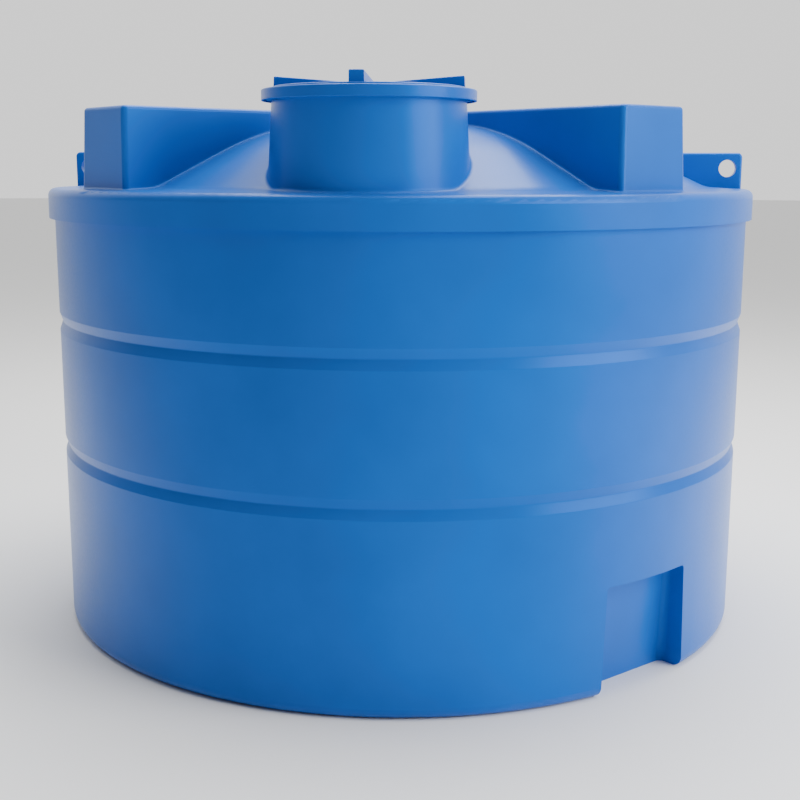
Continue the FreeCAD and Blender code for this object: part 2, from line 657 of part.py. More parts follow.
def upper_shell(outside):
    """Rim, roof dome, shoulders and threaded neck: the half of the moulding above the parting line."""
    inner_line = offset_line(roof_line(), -WALL)
    web_top = PARTING + WALL
    inner_line[0] = (RIM_RADIUS - WALL, web_top)
    inner_line[-1] = (0, CROWN_HEIGHT - WALL)
    inside = turned(inner_line + [(0, PARTING - EPS), (WALL_TOP_RADIUS - WALL, PARTING - EPS),
                                  (WALL_TOP_RADIUS - WALL, web_top)])
    for angle in SHOULDER_ANGLES:
        inside = inside.fuse(turn_z(shoulder_bar(-WALL, web_top + WALL), angle))
    neck_in = moved(neck_solids(RIM_CORNER_HEIGHT - 2 * WALL)[1], 0, NECK_Y, 0)
    shell = outside.cut(inside.fuse(neck_in))
    for start in range(THREAD_STARTS):
        ridge = thread_ridge(NECK_MOUTH_RADIUS, NECK_MOUTH_RADIUS + NECK_THREAD_HEIGHT,
                             neck_thread_height(), 360.0 * start / THREAD_STARTS)
        shell = shell.fuse(moved(ridge, 0, NECK_Y, 0))
    return shell.cut(drill(INLET_TAIL, inlet_frame())).cut(drill(OVERFLOW_BARREL, overflow_frame()))


def shoulder_reach():
    """Half-width of a shoulder's zone, and how far out it goes, at the foot of its fillets."""
    spread = (SHOULDER_TOP - RIM_CORNER_HEIGHT) * math.tan(math.radians(SHOULDER_DRAFT))
    extra = SHOULDER_JOIN_ROUND + DIVISION_MARGIN
    return SHOULDER_HALF_WIDTH + spread + extra, shoulder_end(RIM_CORNER_HEIGHT) + extra


def dome_name(p):
    """The quarter of the roof dome, between two shoulders, that a point is in."""
    if abs(p.x) > abs(p.y):
        return "dome_right" if p.x > 0 else "dome_left"
    return "dome_rear" if p.y > 0 else "dome_front"


def roof_pieces(shell):
    """Divides the roof moulding into neck, crown, shoulders, eyes, dome and rim, which meet face to face."""
    low = DIVISION_LOW
    high = NECK_TOP + EPS
    half, out = shoulder_reach()
    neck_zone = neck_radius(RIM_CORNER_HEIGHT) + NECK_JOIN_ROUND + DIVISION_MARGIN
    zone = moved(rod(neck_zone, low, high), 0, NECK_Y, 0)
    pieces = {"manway_neck": shell.common(zone)}
    rest = shell.cut(zone)
    crown = turn_z(Part.makeBox(2 * half, 2 * half, high - low, V(-half, -half, low)), SHOULDER_ANGLES[0])
    pieces["roof_crown"] = rest.common(crown)
    rest = rest.cut(crown)
    arm = Part.makeBox(out - half, 2 * half, high - low, V(half, -half, low))
    for name, angle in SHOULDERS:
        zone = turn_z(arm, angle)
        pieces[name] = rest.common(zone)
        rest = rest.cut(zone)
    eye_inner, eye_outer = eye_span()
    width = EYE_THICKNESS + 2 * DIVISION_MARGIN
    slab = Part.makeBox(eye_outer - eye_inner + 2 * DIVISION_MARGIN, width, high - low,
                        V(eye_inner - DIVISION_MARGIN, -width / 2, low))
    for name, angle in EYES:
        zone = turn_z(slab, angle)
        pieces[name] = rest.common(zone)
        rest = rest.cut(zone)
    middle = rod(out, PARTING - EPS, high)
    quarters = {}
    for solid in rest.common(middle).Solids:
        quarters.setdefault(dome_name(solid.CenterOfMass), []).append(solid)
    for name, solids in quarters.items():
        pieces[name] = Part.makeCompound(solids)
    pieces["parting_rim"] = rest.cut(middle)
    return pieces


# ---------------------------------------------------------------- screw lid
def rib_block(shrink):
    """One grip rib along +X, as a wedge with drafted sides; shrink makes its hollow."""
    foot = DISC_TOP - LID_WALL - (EPS if shrink else 0)
    inner = RIB_INNER_RADIUS + shrink
    outer = LID_DISC_RADIUS - RIB_MARGIN - shrink
    rise_in = RIB_INNER_RISE - shrink
    rise_out = RIB_OUTER_RISE - shrink
    half = RIB_HALF_WIDTH - shrink
    lean = math.tan(math.radians(RIB_DRAFT))
    side = [V(inner, 0, foot), V(outer, 0, foot), V(outer - RIB_OUTER_LEAN, 0, DISC_TOP + rise_out),
            V(inner + RIB_INNER_LEAN, 0, DISC_TOP + rise_in)]
    block = Part.Face(Part.makePolygon(side + side[:1])).extrude(V(0, 2 * half, 0))
    block.translate(V(0, -half, 0))
    high = DISC_TOP + RIB_OUTER_RISE
    wide = half + (high - foot) * lean
    keep = frustum((inner - EPS, outer + EPS, -wide, wide), foot, (inner - EPS, outer + EPS, -half, half), high)
    return block.common(keep)


def lid():
    """Screw lid: stepped disc, skirt, hollow grip ribs and an inside thread."""
    lower = LID_TOP - LID_SKIRT
    under = LID_TOP - LID_WALL
    step = LID_DISC_RADIUS - LID_WALL
    body = turned([
        (0, DISC_TOP), (LID_DISC_RADIUS, DISC_TOP, LID_EDGE_ROUND),
        (LID_DISC_RADIUS + LID_STEP_LEAN, LID_TOP, LID_STEP_ROUND),
        (LID_RADIUS, LID_TOP, LID_EDGE_ROUND), (LID_RADIUS, lower, LID_LOWER_ROUND),
        (LID_INNER, lower, LID_INSIDE_ROUND), (LID_INNER, under, LID_STEP_ROUND),
        (step, under, LID_INSIDE_ROUND), (step - LID_STEP_LEAN, DISC_TOP - LID_WALL, LID_LOWER_ROUND),
        (0, DISC_TOP - LID_WALL),
    ])
    for k in range(RIB_COUNT):
        rib = rib_block(0)
        top_edges = [e for e in rib.Edges if all(v.Z > DISC_TOP + EPS for v in e.Vertexes)]
        body = body.fuse(turn_z(rib.makeFillet(RIB_ROUND, top_edges), 360 * k / RIB_COUNT))
    body = body.removeSplitter()
    for k in range(RIB_COUNT):
        body = body.cut(turn_z(rib_block(RIB_WALL), 360 * k / RIB_COUNT))
    crest = NECK_MOUTH_RADIUS + LID_THREAD_GAP
    for start in range(THREAD_STARTS):
        phase = 360.0 * start / THREAD_STARTS + LID_THREAD_PHASE
        height = neck_thread_height() - THREAD_OFFSET + THREAD_LEAD * LID_THREAD_PHASE / 360.0
        body = body.fuse(thread_ridge(LID_INNER, crest, height, phase))
    body = body.cut(rod(VENT_STEM_RADIUS + HOLE_CLEARANCE, under - EPS, DISC_TOP + EPS))
    return moved(body, 0, NECK_Y, 0)


def lid_seal():
    """Flat ring between the neck's top face and the lid."""
    seal = turned([(NECK_BORE - SEAL_LIP, NECK_TOP), (NECK_MOUTH_RADIUS + SEAL_LIP, NECK_TOP),
                   (NECK_MOUTH_RADIUS + SEAL_LIP, NECK_TOP + SEAL_THICKNESS),
                   (NECK_BORE - SEAL_LIP, NECK_TOP + SEAL_THICKNESS)])
    return moved(seal, 0, NECK_Y, 0)


def perforated(radius, low):
    """A round screen of small holes in rows."""
    screen = rod(radius, low, low + SCREEN_THICKNESS)
    rows = int(radius / SCREEN_PITCH) + 1
    holes = []
    for i in range(-rows, rows + 1):
        for j in range(-rows, rows + 1):
            x = (i + 0.5 * (j % 2)) * SCREEN_PITCH
            y = j * SCREEN_PITCH * math.sqrt(3) / 2
            if math.hypot(x, y) < radius - SCREEN_HOLE - EPS:
                holes.append(moved(rod(SCREEN_HOLE, low - EPS, low + SCREEN_THICKNESS + EPS), x, y, 0))
    return screen.cut(Part.makeCompound(holes))


def vent():
    """The breather's pieces: body, cap, nut and insect screen."""
    plate_low = DISC_TOP - LID_WALL
    flange_top = DISC_TOP + VENT_FLANGE_THICKNESS
    tail = plate_low - VENT_NUT_HEIGHT - VENT_TAIL
    screen_low = flange_top - SCREEN_THICKNESS
    narrow = VENT_BORE - VENT_LEDGE
    body = turned([
        (narrow, tail), (VENT_STEM_RADIUS, tail), (VENT_STEM_RADIUS, DISC_TOP),
        (VENT_FLANGE_RADIUS, DISC_TOP), (VENT_FLANGE_RADIUS, flange_top, VENT_FLANGE_ROUND),
        (VENT_BORE, flange_top), (VENT_BORE, screen_low), (narrow, screen_low),
    ])
    cap_low = flange_top + VENT_AIR_GAP
    skirt_low = flange_top + VENT_SKIRT_GAP
    skirt_inner = VENT_CAP_RADIUS - VENT_CAP_WALL
    cap = turned([(0, cap_low), (skirt_inner, cap_low), (skirt_inner, skirt_low), (VENT_CAP_RADIUS, skirt_low),
                  (VENT_CAP_RADIUS, cap_low + VENT_CAP_EDGE, FITTING_ROUND), (0, cap_low + VENT_CAP_THICKNESS)])
    for k in range(VENT_LEGS):
        leg = moved(rod(VENT_LEG_RADIUS, flange_top, cap_low + EPS), (VENT_BORE + VENT_FLANGE_RADIUS) / 2, 0, 0)
        cap = cap.fuse(turn_z(leg, 360 * k / VENT_LEGS))
    nut = hexagon(VENT_NUT_FLATS, plate_low - VENT_NUT_HEIGHT, plate_low)
    nut = nut.cut(rod(VENT_STEM_RADIUS + THREAD_CLEARANCE, tail, DISC_TOP))
    screen = perforated(VENT_BORE - THREAD_CLEARANCE, screen_low)
    return {name: moved(shape, 0, NECK_Y, 0) for name, shape in
            (("vent_body", body), ("vent_cap", cap), ("vent_nut", nut), ("vent_screen", screen))}


# ---------------------------------------------------------------- outlet and its ball valve
def outlet_frame():
    """On the pad of the rear recess, at the outlet's height."""
    return face_frame(RECESS_ANGLES[1], recess_pad(OUTLET_HEIGHT), OUTLET_HEIGHT, recess_lean())


def outlet_fitting():
    """Threaded tank connector through the pad: flange inside, seals both sides, backnut outside."""
    inside = -WALL - GASKET
    flange_face = inside - OUTLET_FLANGE_THICKNESS
    connector = turned([
        (OUTLET_BORE, flange_face), (OUTLET_FLANGE, flange_face, FITTING_ROUND), (OUTLET_FLANGE, inside),
        (OUTLET_BARREL, inside), (OUTLET_BARREL, OUTLET_REACH, BARREL_ROUND), (OUTLET_BORE, OUTLET_REACH),
    ])
    gap = OUTLET_BARREL + HOLE_CLEARANCE
    nut = hexagon(OUTLET_NUT_FLATS, GASKET, GASKET + OUTLET_NUT_HEIGHT)
    nut = nut.cut(rod(OUTLET_BARREL + THREAD_CLEARANCE, -EPS, OUTLET_REACH))
    return {
        "outlet_connector": connector,
        "outlet_inner_seal": ring(gap, OUTLET_FLANGE - SEAL_MARGIN, inside, -WALL),
        "outlet_outer_seal": ring(gap, OUTLET_FLANGE - OUTER_SEAL_MARGIN, 0, GASKET),
        "outlet_backnut": nut,
    }


def valve_centre():
    """Distance from the pad to the middle of the ball."""
    return OUTLET_REACH + VALVE_SHOULDER + VALVE_BALL + EPS


def cross_rod(radius, centre, low, high):
    """A cylinder along local Y through the valve's middle."""
    return Part.makeCylinder(radius, high - low, V(0, low, centre), V(0, 1, 0))


def hexagon_up(flats, centre, low, high):
    """A hexagonal prism along local Y."""
    nut = hexagon(flats, low, high)
    nut.rotate(V(0, 0, 0), V(1, 0, 0), -90)
    return moved(nut, 0, 0, centre)


def ball_valve():
    """Quarter-turn ball valve: body, end, seats, gland nut, and the ball, stem and lever that turn."""
    c = valve_centre()
    near = c - VALVE_BALL - EPS
    far = c + VALVE_BALL + EPS
    mouth = far + VALVE_SPIGOT
    collar = VALVE_RADIUS - VALVE_COLLAR_STEP
    collar_end = VALVE_START + VALVE_COLLAR
    body = turned([
        (OUTLET_BARREL + THREAD_CLEARANCE, VALVE_START), (collar, VALVE_START, FITTING_ROUND),
        (collar, collar_end, FITTING_ROUND), (VALVE_RADIUS, collar_end + VALVE_COLLAR_TAPER, 2 * FITTING_ROUND),
        (VALVE_RADIUS, mouth), (VALVE_CAVITY, mouth), (VALVE_CAVITY, near), (OUTLET_BORE, near),
        (OUTLET_BORE, OUTLET_REACH + EPS), (OUTLET_BARREL + THREAD_CLEARANCE, OUTLET_REACH + EPS),
    ])
    boss = cross_rod(STEM_BOSS_RADIUS, c, VALVE_CAVITY + EPS, STEM_BOSS_RISE)
    body = body.fuse(boss).cut(cross_rod(STEM_RADIUS + RUNNING_CLEARANCE, c, 0, STEM_BOSS_RISE + EPS))
    end_far = mouth + VALVE_END_LENGTH
    end_cap = hexagon(VALVE_END_FLATS, mouth, end_far)
    end_cap = end_cap.fuse(rod(VALVE_CAVITY - THREAD_CLEARANCE, far, mouth + EPS))
    end_cap = end_cap.cut(rod(OUTLET_BORE, far - EPS, end_far))
    end_cap = end_cap.cut(rod(OUTLET_BARREL + THREAD_CLEARANCE, end_far - VALVE_SOCKET, end_far + EPS))
    ball = Part.makeSphere(VALVE_BALL, V(0, 0, c))
    waterway = Part.makeCylinder(OUTLET_BORE, 2 * VALVE_BALL + 2 * EPS, V(-VALVE_BALL - EPS, 0, c), V(1, 0, 0))
    slot_low = VALVE_BALL - BALL_SLOT_DEPTH
    stem_low = VALVE_CAVITY - STEM_RECESS
    tongue_half = STEM_RADIUS - TONGUE_INSET
    tongue = Part.makeBox(2 * tongue_half, stem_low - slot_low - EPS, TONGUE_THICKNESS,
                          V(-tongue_half, slot_low + EPS, c - TONGUE_THICKNESS / 2))
    slot_half = tongue_half + BALL_SLOT_CLEARANCE
    slot_width = TONGUE_THICKNESS + 2 * BALL_SLOT_CLEARANCE
    slot = Part.makeBox(2 * slot_half, 2 * BALL_SLOT_DEPTH, slot_width,
                        V(-slot_half, slot_low, c - slot_width / 2))
    ball = ball.cut(waterway).cut(slot)
    socket = Part.makeSphere(VALVE_BALL + VALVE_SEAT_GAP, V(0, 0, c))
    seats = []
    for low in (near, far - VALVE_SEAT_LENGTH):
        seat = ring(OUTLET_BORE, VALVE_CAVITY - RUNNING_CLEARANCE, low, low + VALVE_SEAT_LENGTH)
        seats.append(seat.cut(socket))
    lever_low = STEM_BOSS_RISE + GLAND_NUT_HEIGHT + LEVER_GAP
    lever_high = lever_low + LEVER_THICKNESS
    stem_top = lever_high + LEVER_NUT_HEIGHT + STEM_END
    neck = STEM_RADIUS - STEM_NECK
    stem = cross_rod(STEM_RADIUS, c, stem_low, lever_low)
    stem = stem.fuse(cross_rod(neck, c, lever_low - EPS, stem_top)).fuse(tongue).removeSplitter()
    gland = hexagon_up(GLAND_NUT_FLATS, c, STEM_BOSS_RISE, STEM_BOSS_RISE + GLAND_NUT_HEIGHT)
    gland = gland.cut(cross_rod(STEM_RADIUS + RUNNING_CLEARANCE, c, 0, stem_top))
    lever = Part.makeBox(LEVER_LENGTH, LEVER_THICKNESS, 2 * LEVER_HALF_WIDTH,
                         V(0, lever_low, c - LEVER_HALF_WIDTH))
    tip = edges_where(lever, lambda p: p.x > LEVER_LENGTH - EPS)
    tip = [e for e in tip if abs(e.Vertexes[0].Y - e.Vertexes[1].Y) > EPS]
    lever = lever.makeFillet(LEVER_HALF_WIDTH - EPS, tip)
    hub = cross_rod(LEVER_HUB_RADIUS, c, lever_low, lever_high)
    lever = lever.fuse(hub).cut(cross_rod(neck + THREAD_CLEARANCE, c, 0, stem_top)).removeSplitter()
    grip = Part.makeBox(GRIP_LENGTH, LEVER_THICKNESS + 2 * GRIP_WALL, 2 * (LEVER_HALF_WIDTH + GRIP_WALL),
                        V(LEVER_LENGTH + GRIP_WALL - GRIP_LENGTH, lever_low - GRIP_WALL,
                          c - LEVER_HALF_WIDTH - GRIP_WALL))
    grip = grip.makeFillet(GRIP_ROUND, grip.Edges).cut(lever)
    nut = hexagon_up(LEVER_NUT_FLATS, c, lever_high, lever_high + LEVER_NUT_HEIGHT)
    nut = nut.cut(cross_rod(neck + THREAD_CLEARANCE, c, 0, stem_top + EPS))
    return {
        "valve_body": body, "valve_end": end_cap, "valve_seats": Part.makeCompound(seats),
        "valve_ball": ball, "valve_stem": stem, "valve_gland_nut": gland,
        "valve_lever": lever, "lever_grip": grip, "lever_nut": nut,
    }


# ---------------------------------------------------------------- float valve on the inlet
def inlet_frame():
    """On the end face of a rear shoulder."""
    height = SHOULDER_TOP - INLET_DROP
    return face_frame(SHOULDER_ANGLES[INLET_SHOULDER], shoulder_end(height), height, SHOULDER_DRAFT)


def inlet_face():
    """Local Z of the inside flange's inner face."""
    return -WALL - GASKET - INLET_FLANGE_THICKNESS


def pivot_z():
    """Local Z of the float arm's pivot."""
    return inlet_face() - INLET_BARREL_LENGTH - PIVOT_REACH


def pin_across(radius, y, z, half):
    """A cylinder along local X."""
    return Part.makeCylinder(radius, 2 * half, V(-half, y, z), V(1, 0, 0))


def hung(shape):
    """Turns a piece of the float arm from level down to where it hangs in an empty tank."""
    copy = shape.copy()
    copy.rotate(V(0, -PIVOT_DROP, pivot_z()), V(1, 0, 0), -FLOAT_HANG)
    return copy


def plunger_travel():
    """How far the arm's heel pushes the plunger from hanging to level."""
    return PIVOT_DROP * math.sin(math.radians(FLOAT_HANG))


def float_valve():
    """Brass float valve: threaded tail through the wall, fork, pivot pin, arm, plunger and float."""
    face = inlet_face()
    end = face - INLET_BARREL_LENGTH
    bite = GASKET + INLET_NUT_HEIGHT
    seat = face - NOZZLE_START - NOZZLE_LENGTH
    chamber_low = seat - CHAMBER_LENGTH
    waist = INLET_TAIL - INLET_RELIEF
    body = turned([
        (INLET_BORE, INLET_REACH), (INLET_TAIL, INLET_REACH, BARREL_ROUND), (INLET_TAIL, bite + EPS),
        (waist, bite + EPS), (waist, face + INLET_ROOT), (INLET_BARREL, face + INLET_ROOT),
        (INLET_BARREL, end, FITTING_ROUND), (PLUNGER_RADIUS + RUNNING_CLEARANCE, end),
        (PLUNGER_RADIUS + RUNNING_CLEARANCE, chamber_low), (CHAMBER_RADIUS, chamber_low),
        (CHAMBER_RADIUS, seat), (NOZZLE_RADIUS, seat), (NOZZLE_RADIUS, seat + NOZZLE_LENGTH),
        (INLET_BORE, seat + NOZZLE_LENGTH),
    ])
    flange = hexagon(INLET_FLANGE_FLATS, face, -WALL - GASKET).cut(rod(INLET_BORE, face - EPS, 0))
    body = body.fuse(flange)
    half = ARM_HALF_WIDTH + FORK_GAP
    for side in (-1, 1):
        x = half if side > 0 else -half - FORK_CHEEK
        cheek = Part.makeBox(FORK_CHEEK, PIVOT_DROP + 2 * FORK_MARGIN, PIVOT_REACH + 2 * FORK_MARGIN,
                             V(x, -PIVOT_DROP - FORK_MARGIN, pivot_z() - FORK_MARGIN))
        body = body.fuse(cheek)
    pin_hole = pin_across(PIVOT_RADIUS, -PIVOT_DROP, pivot_z(), half + FORK_CHEEK + EPS)
    spout = Part.makeCylinder(CHAMBER_OUTLET_RADIUS, INLET_BARREL + EPS,
                              V(0, 0, chamber_low + CHAMBER_OUTLET_RADIUS + EPS), V(0, -1, 0))
    body = body.cut(pin_hole).cut(spout).removeSplitter()
    nut = hexagon(INLET_FLANGE_FLATS, GASKET, bite)
    nut = nut.cut(rod(INLET_TAIL + THREAD_CLEARANCE, 0, INLET_REACH))
    hole = INLET_TAIL + HOLE_CLEARANCE
    seal_edge = INLET_FLANGE_FLATS / 2 - INLET_SEAL_MARGIN
    pin = pin_across(PIVOT_RADIUS - RUNNING_CLEARANCE, -PIVOT_DROP, pivot_z(), half + FORK_CHEEK + PIN_HEAD)
    head = Part.makeCylinder(PIVOT_RADIUS + PIN_HEAD_STEP, PIN_HEAD, V(0, -PIVOT_DROP, pivot_z()), V(1, 0, 0))
    head_start = half + FORK_CHEEK + THREAD_CLEARANCE
    pin = pin.fuse(moved(head, head_start, 0, 0))
    pin = pin.fuse(moved(head, -head_start - PIN_HEAD, 0, 0)).removeSplitter()

    eye = pin_across(ARM_EYE_RADIUS, -PIVOT_DROP, pivot_z(), ARM_HALF_WIDTH)
    rod_start = pivot_z() - ARM_EYE_RADIUS + EPS
    rod_end = pivot_z() - ARM_LENGTH - 2 * FLOAT_RADIUS - ARM_TAIL
    bar = Part.makeCylinder(ARM_RADIUS, rod_start - rod_end, V(0, -PIVOT_DROP, rod_end), V(0, 0, 1))
    web_half = ARM_HALF_WIDTH - WEB_INSET
    web = Part.makeBox(2 * web_half, PIVOT_DROP, WEB_BACK + WEB_FRONT,
                       V(-web_half, -PIVOT_DROP, pivot_z() - WEB_BACK))
    heel = pin_across(HEEL_RADIUS, 0, pivot_z(), web_half)
    arm = eye.fuse(bar).fuse(web).fuse(heel).removeSplitter()
    arm = arm.cut(pin_across(PIVOT_RADIUS + RUNNING_CLEARANCE, -PIVOT_DROP, pivot_z(), ARM_HALF_WIDTH + EPS))

    centre = V(0, -PIVOT_DROP, pivot_z() - ARM_LENGTH - FLOAT_RADIUS)
    ball = Part.makeSphere(FLOAT_RADIUS, centre).cut(Part.makeSphere(FLOAT_RADIUS - FLOAT_WALL, centre))
    sleeve = Part.makeCylinder(ARM_RADIUS + FLOAT_SLEEVE_WALL, 2 * (FLOAT_RADIUS - EPS),
                               V(0, centre.y, centre.z - FLOAT_RADIUS + EPS))
    ball = ball.fuse(sleeve).removeSplitter()
    thread = moved(rod(ARM_RADIUS + THREAD_CLEARANCE, rod_end, rod_start), 0, -PIVOT_DROP, 0)
    ball = ball.cut(thread)
    nuts = []
    for low in (centre.z + FLOAT_RADIUS + LOCKNUT_GAP, centre.z - FLOAT_RADIUS - LOCKNUT_GAP - LOCKNUT_HEIGHT):
        nuts.append(moved(hexagon(LOCKNUT_FLATS, low, low + LOCKNUT_HEIGHT), 0, -PIVOT_DROP, 0).cut(thread))

    tip = pivot_z() + HEEL_RADIUS + HEEL_GAP - plunger_travel()
    washer_low = seat - WASHER_GAP - plunger_travel() - WASHER_THICKNESS
    plunger = rod(PLUNGER_RADIUS, tip, washer_low)
    washer = rod(WASHER_RADIUS, washer_low, washer_low + WASHER_THICKNESS)
    return {
        "float_valve_body": body, "inlet_backnut": nut,
        "inlet_seals": Part.makeCompound([ring(hole, seal_edge, 0, GASKET),
                                          ring(hole, seal_edge, -WALL - GASKET, -WALL)]),
        "float_pivot_pin": pin, "valve_plunger": plunger, "plunger_washer": washer,
        "float_arm": hung(arm), "float": hung(ball),
        "float_locknuts": Part.makeCompound([hung(n) for n in nuts]),
    }


# ---------------------------------------------------------------- overflow
def overflow_frame():
    """On the end face of the other rear shoulder."""
    height = SHOULDER_TOP - OVERFLOW_DROP
    return face_frame(SHOULDER_ANGLES[OVERFLOW_SHOULDER], shoulder_end(height), height, SHOULDER_DRAFT)


def elbow_bend_start():
    """Local Z where the elbow starts to bend, so that a pipe hanging from it passes outside the rim."""
    face = shoulder_end(SHOULDER_TOP - OVERFLOW_DROP)
    return RIM_RADIUS + PIPE_RIM_GAP + ELBOW_SOCKET - ELBOW_BEND - face


def overflow():
    """Overflow: connector with an insect screen, seals, backnut, and an elbow turned down."""
    inside = -WALL - GASKET
    flange_face = inside - OVERFLOW_FLANGE_THICKNESS
    ledge = flange_face + SCREEN_RECESS
    wide = OVERFLOW_BORE + SCREEN_LEDGE
    connector = turned([
        (OVERFLOW_BORE, ledge), (wide, ledge), (wide, flange_face),
        (OVERFLOW_FLANGE, flange_face, FITTING_ROUND),
        (OVERFLOW_FLANGE, inside), (OVERFLOW_BARREL, inside), (OVERFLOW_BARREL, OVERFLOW_REACH, BARREL_ROUND),
        (OVERFLOW_BORE, OVERFLOW_REACH),
    ])
    screen = perforated(wide - THREAD_CLEARANCE, ledge - SCREEN_THICKNESS)
    nut = hexagon(OVERFLOW_NUT_FLATS, GASKET, GASKET + OVERFLOW_NUT_HEIGHT)
    nut = nut.cut(rod(OVERFLOW_BARREL + THREAD_CLEARANCE, 0, OVERFLOW_REACH))
    gap = OVERFLOW_BARREL + HOLE_CLEARANCE

    bore = OVERFLOW_BARREL + THREAD_CLEARANCE
    outer = bore + ELBOW_WALL
    bend_z = elbow_bend_start()
    bend_centre = V(0, -ELBOW_BEND, bend_z)

    def bend(radius):
        circle = Part.Wire(Part.makeCircle(radius, V(0, 0, bend_z), V(0, 0, 1)))
        return Part.Face(circle).revolve(bend_centre, V(1, 0, 0), 90)

    leg_z = bend_z + ELBOW_BEND
    leg_low = -ELBOW_BEND - ELBOW_LEG
    leg = Part.makeCylinder(outer + ELBOW_BEAD, ELBOW_LEG, V(0, leg_low, leg_z), V(0, 1, 0))
    elbow = rod(outer, ELBOW_START, bend_z).fuse(bend(outer)).fuse(leg)
    inner = rod(bore, ELBOW_START - EPS, OVERFLOW_REACH + EPS).fuse(rod(OVERFLOW_BORE, OVERFLOW_REACH, bend_z))
    inner = inner.fuse(bend(OVERFLOW_BORE))
    mouth = V(0, leg_low - EPS, leg_z)
    inner = inner.fuse(Part.makeCylinder(OVERFLOW_BORE, ELBOW_LEG + EPS, mouth, V(0, 1, 0)))
    socket = Part.makeCylinder(ELBOW_SOCKET, ELBOW_SOCKET_DEPTH + EPS, mouth, V(0, 1, 0))
    elbow = elbow.cut(inner).cut(socket).removeSplitter()
    return {
        "overflow_connector": connector, "overflow_screen": screen, "overflow_backnut": nut,
        "overflow_seals": Part.makeCompound([ring(gap, OVERFLOW_FLANGE - OVERFLOW_SEAL_MARGIN, 0, GASKET),
                                             ring(gap, OVERFLOW_FLANGE - SEAL_MARGIN, inside, -WALL)]),
        "overflow_elbow": elbow,
    }


# ---------------------------------------------------------------- everything
def build():
    """Every node's name and shape."""
    nodes = {"lower_shell": lower_shell(), "lid": lid(), "lid_seal": lid_seal()}
    nodes.update(roof_pieces(upper_shell(upper_outside())))
    nodes.update(vent())
    for pieces, frame in ((outlet_fitting(), outlet_frame()), (ball_valve(), outlet_frame()),
                          (float_valve(), inlet_frame()), (overflow(), overflow_frame())):
        for name, shape in pieces.items():
            nodes[name] = placed(shape, frame)
    return nodes


def main():
    os.makedirs(OUT, exist_ok=True)
    for name, shape in build().items():
        bad = [s for s in shape.Solids if not s.isValid() or s.Volume <= 0]
        print(f"{name:20s} solids {len(shape.Solids)} volume {shape.Volume / 1e6:9.4f} litres"
              f"{'  NOT VALID' if bad or not shape.Solids else ''}")
        shape.exportStep(f"{OUT}/{name}.step")


main()
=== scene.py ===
"""Finishes and stage for an upright moulded water storage tank.

The tank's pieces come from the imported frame. This file gives each one its material, and sets the
floor, lights and camera. Lengths are in metres, unless a name ends in _mm.
"""
import math

import bmesh
import bpy
from bpy.props import FloatProperty, FloatVectorProperty, PointerProperty, StringProperty
from mathutils import Matrix, Vector


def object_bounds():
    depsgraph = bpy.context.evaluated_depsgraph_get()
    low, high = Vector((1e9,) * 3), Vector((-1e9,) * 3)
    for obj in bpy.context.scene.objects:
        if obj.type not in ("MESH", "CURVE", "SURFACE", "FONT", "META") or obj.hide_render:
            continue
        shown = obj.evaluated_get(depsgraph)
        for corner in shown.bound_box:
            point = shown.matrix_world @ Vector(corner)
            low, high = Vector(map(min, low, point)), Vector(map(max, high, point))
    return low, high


bl_info = {
    "name": "Moulded Water Tank",
    "version": (1, 0, 0),
    "blender": (4, 5, 0),
    "location": "View3D > Sidebar > Water Tank",
    "description": "Gives a moulded water tank its materials and studio stage",
    "category": "Object",
}

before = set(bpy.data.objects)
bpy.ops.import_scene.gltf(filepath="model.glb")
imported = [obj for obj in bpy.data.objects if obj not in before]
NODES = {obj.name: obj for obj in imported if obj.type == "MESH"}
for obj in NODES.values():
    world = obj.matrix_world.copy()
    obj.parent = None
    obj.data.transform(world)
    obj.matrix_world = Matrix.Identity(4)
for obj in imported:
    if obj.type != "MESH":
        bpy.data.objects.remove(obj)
CAD_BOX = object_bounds()
MM = 0.001

SEAL_NODES = ("lid_seal", "outlet_inner_seal", "outlet_outer_seal", "inlet_seals", "overflow_seals",
              "plunger_washer")
BLACK_NODES = ("vent_body", "vent_cap", "vent_nut", "outlet_connector", "outlet_backnut",
               "overflow_connector", "overflow_backnut", "overflow_elbow")
BRASS_NODES = ("valve_body", "valve_end", "valve_gland_nut", "float_valve_body", "inlet_backnut",
               "valve_plunger", "float_arm", "float_locknuts")
STAINLESS_NODES = ("vent_screen", "overflow_screen", "valve_stem", "float_pivot_pin", "lever_nut")
# each of these has a material of its own
OTHER_NODES = ("lid", "valve_seats", "lever_grip", "float", "valve_lever", "valve_ball")
# the moulded tank is every node that is not a fitting, a valve or the lid
FITTING_NODES = {*SEAL_NODES, *BLACK_NODES, *BRASS_NODES, *STAINLESS_NODES, *OTHER_NODES}
SHELL_NODES = tuple(sorted(set(NODES) - FITTING_NODES))

WHITE = "#ffffff"
SENSOR_WIDTH_MM = 36


# ---------------------------------------------------------------- helpers
def linear(colour):
    """An sRGB hex colour, such as #2a6cb8, as linear RGBA."""
    channels = [int(colour[i:i + 2], 16) / 255 for i in (1, 3, 5)]
    return [c / 12.92 if c <= 0.04045 else ((c + 0.055) / 1.055) ** 2.4 for c in channels] + [1.0]


def add_node(tree, kind, settings=None, inputs=None, links=None):
    """Adds one shader node with its settings, its inputs' values and its links from other nodes."""
    made = tree.nodes.new(kind)
    for name, value in (settings or {}).items():
        setattr(made, name, value)
    for name, value in (inputs or {}).items():
        made.inputs[name].default_value = value
    for name, (source, output) in (links or {}).items():
        tree.links.new(source.outputs[output], made.inputs[name])
    return made


